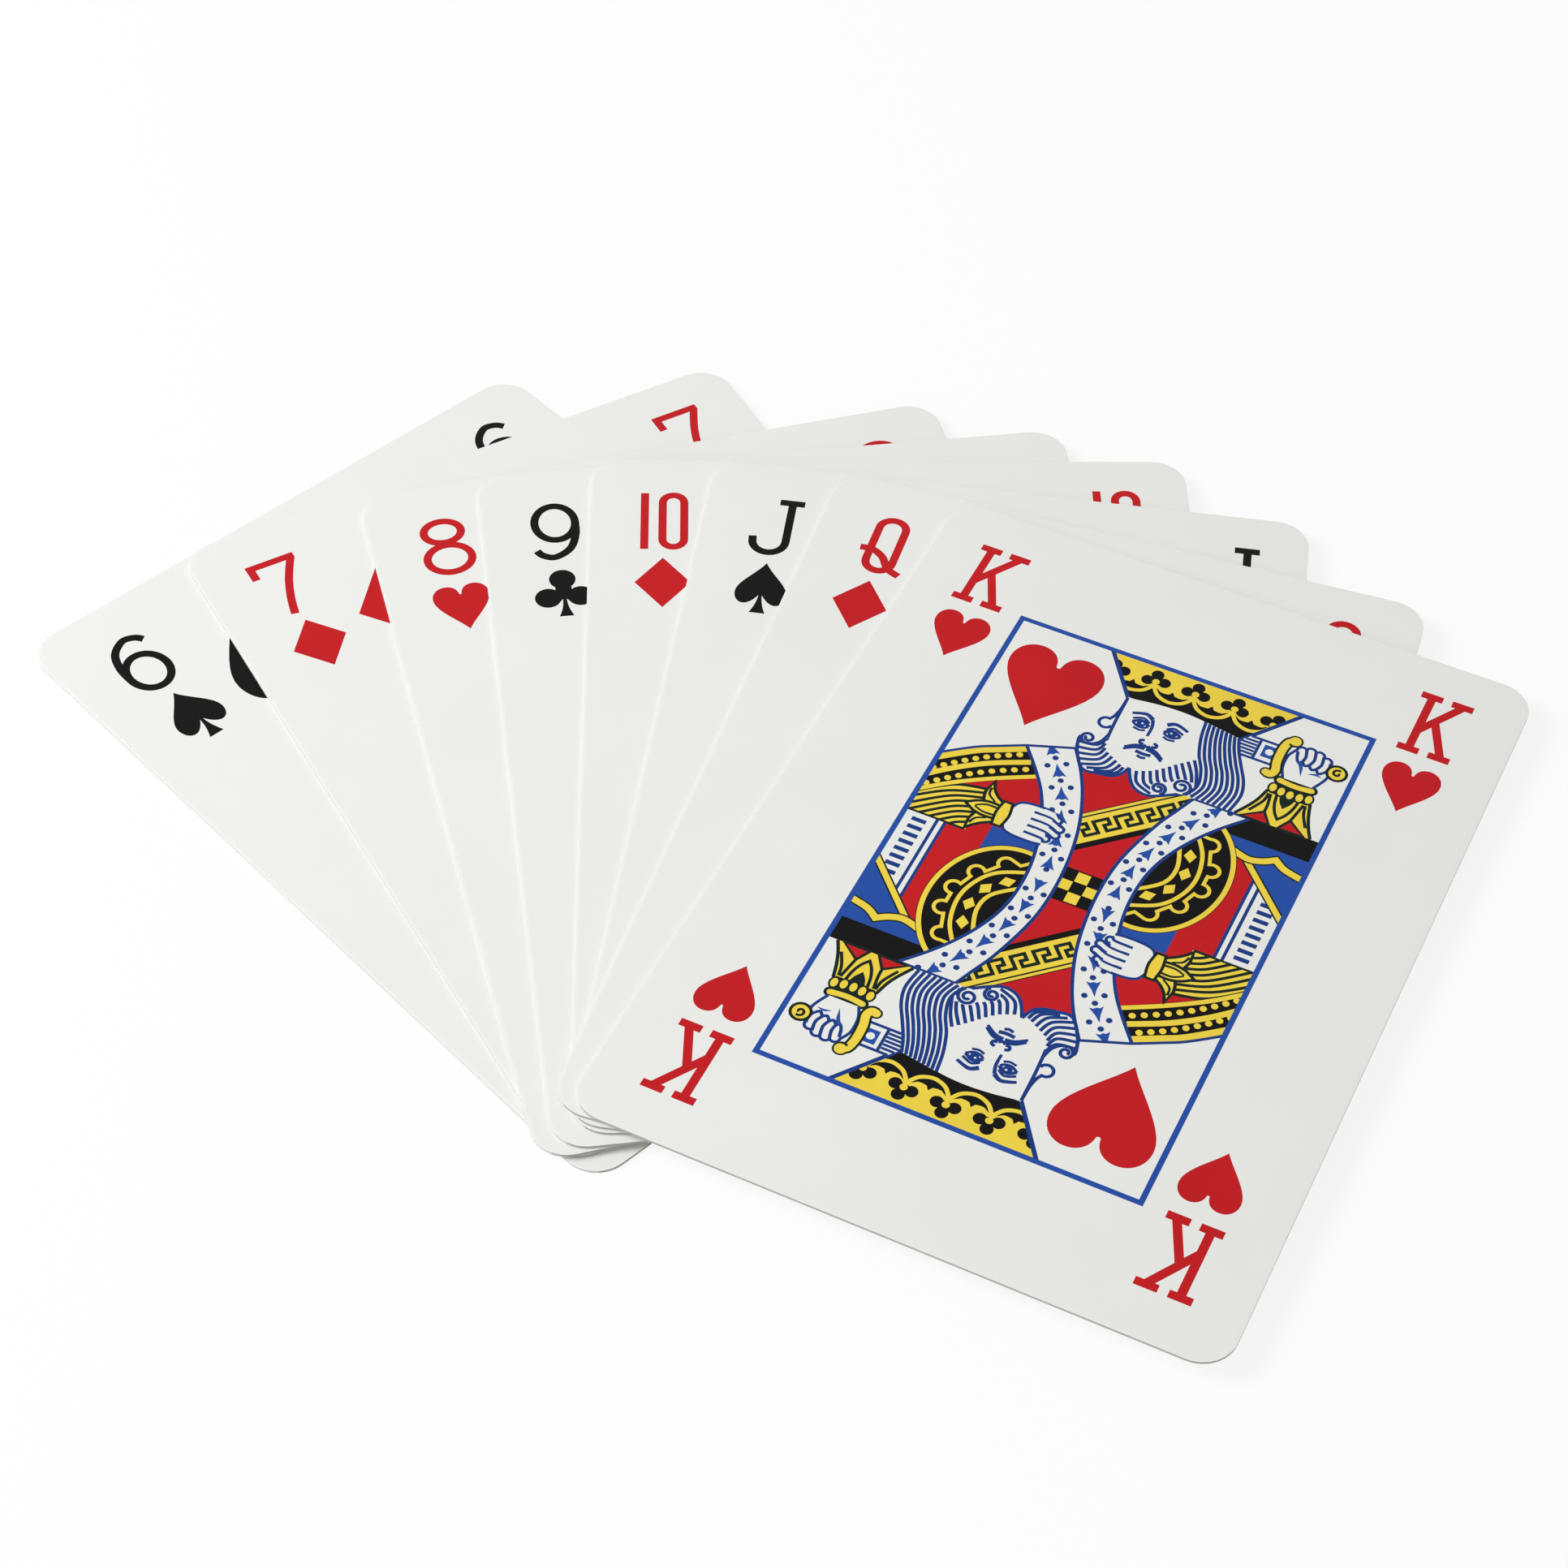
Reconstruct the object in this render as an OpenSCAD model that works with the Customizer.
// A hand of eight playing cards, from the six to the king, spread face up in a fan.
// Each card is two printed paper sheets pasted together over a thin opaque core.
// The lowest card lies on the ground, and each other card lies on the one below it.
// Lengths are in millimetres and turns are in degrees.

/* [Card] */
// Width of every card
card_w = 63; // [50:0.5:80]
// Height of every card
card_h = 88; // [70:0.5:120]
// Radius of the die-cut corners
corner_r = 3.5; // [1:0.1:8]

/* [Layers] */
// Thickness of the printed face sheet
face_t = 0.14; // [0.06:0.01:0.3]
// Thickness of the opaque paste between the two sheets
core_t = 0.02; // [0.01:0.01:0.1]
// Thickness of the printed back sheet
back_t = 0.14; // [0.06:0.01:0.3]
// Air left between two cards that lie on each other
card_gap = 0.02; // [0.01:0.01:0.2]

/* [Fan] */
// Angle of the six of spades from upright, to the left
six_angle = 43.88; // [-90:0.01:90]
// Angle of the seven of diamonds on the six, to the right
seven_angle = 13.40; // [0:0.01:20]
// Angle of the eight of hearts on the seven, to the right
eight_angle = 14.07; // [0:0.01:20]
// Angle of the nine of clubs on the eight, to the right
nine_angle = 7.33; // [0:0.01:20]
// Angle of the ten of diamonds on the nine, to the right
ten_angle = 7.04; // [0:0.01:20]
// Angle of the jack of spades on the ten, to the right
jack_angle = 9.03; // [0:0.01:20]
// Angle of the queen of diamonds on the jack, to the right
queen_angle = 9.90; // [0:0.01:20]
// Angle of the king of hearts on the queen, to the right
king_angle = 7.66; // [0:0.01:20]

/* [Hidden] */
// Cards from the lowest to the highest, and the layers of each
CARDS = [
    "six_of_spades",
    "seven_of_diamonds",
    "eight_of_hearts",
    "nine_of_clubs",
    "ten_of_diamonds",
    "jack_of_spades",
    "queen_of_diamonds",
    "king_of_hearts"
];
LAYERS = ["face", "core", "back"];
$fn = 96;

// Angle of each card on the one below, none for the lowest
step_angles = [0, seven_angle, eight_angle, nine_angle, ten_angle, jack_angle, queen_angle, king_angle];

// Point that each card turned about as the hand spread it: across and up the card below,
// from that card's lower left corner. Some lie just off the card, where it slid as it turned.
pivot_shares = [
    [0, 0],
    [0.197, 0.058],
    [0.070, 0.091],
    [0.100, -0.123],
    [0.203, -0.146],
    [0.092, 0.054],
    [0.106, 0.115],
    [0.054, -0.119]
];

// One card's size, and the rise from each card to the next
card_size = [card_w, card_h];
card_t = back_t + core_t + face_t;
card_rise = card_t + card_gap;
// Places of the corner centres, across and up from the card's centre
corner_at = card_size / 2 - [corner_r, corner_r];

// A point turned to the left about the origin
function turned(p, turn) = [p.x * cos(turn) - p.y * sin(turn), p.x * sin(turn) + p.y * cos(turn)];

// Turn of a card from upright, to the left
function card_turn(i) = i == 0 ? six_angle : card_turn(i - 1) - step_angles[i];

// Centre of a card, with the lowest card's centre at the origin
function card_centre(i) =
    i == 0 ? [0, 0] :
    let (below = card_centre(i - 1), at = pivot(i, below))
    at + turned(below - at, -step_angles[i]);

// Point that a card turns about, given the centre of the card below
function pivot(i, below) =
    let (share = pivot_shares[i])
    below + turned([share.x * card_w, share.y * card_h] - card_size / 2, card_turn(i - 1));

// How far a card with round corners reaches along X and Y from its centre
function reach(turn) = [
    abs(cos(turn)) * corner_at.x + abs(sin(turn)) * corner_at.y + corner_r,
    abs(sin(turn)) * corner_at.x + abs(cos(turn)) * corner_at.y + corner_r
];

// The fan's box, whose middle is put at the origin
all_cards = [0 : len(CARDS) - 1];
lows = [for (i = all_cards) card_centre(i) - reach(card_turn(i))];
highs = [for (i = all_cards) card_centre(i) + reach(card_turn(i))];
fan_low = [min([for (p = lows) p.x]), min([for (p = lows) p.y])];
fan_high = [max([for (p = highs) p.x]), max([for (p = highs) p.y])];
fan_middle = (fan_low + fan_high) / 2;

// Outline of a card, centred
module card_outline() {
    square([card_w, corner_at.y * 2], center = true);
    square([corner_at.x * 2, card_h], center = true);
    for (side = [-1, 1], end = [-1, 1])
        translate([side * corner_at.x, end * corner_at.y])
            circle(corner_r);
}

// One layer of a card, at its height above the card's underside
module card_layer(i, height, thickness) {
    at = card_centre(i) - fan_middle;
    translate([at.x, at.y, i * card_rise + height])
        rotate(card_turn(i))
            linear_extrude(thickness)
                card_outline();
}

module face_sheet(i) {
    color("ivory") card_layer(i, back_t + core_t, face_t);
}

module core_film(i) {
    color("dimgray") card_layer(i, back_t, core_t);
}

module back_sheet(i) {
    color("firebrick") card_layer(i, 0, back_t);
}

for (i = all_cards) {
    face_sheet(i);
    core_film(i);
    back_sheet(i);
}
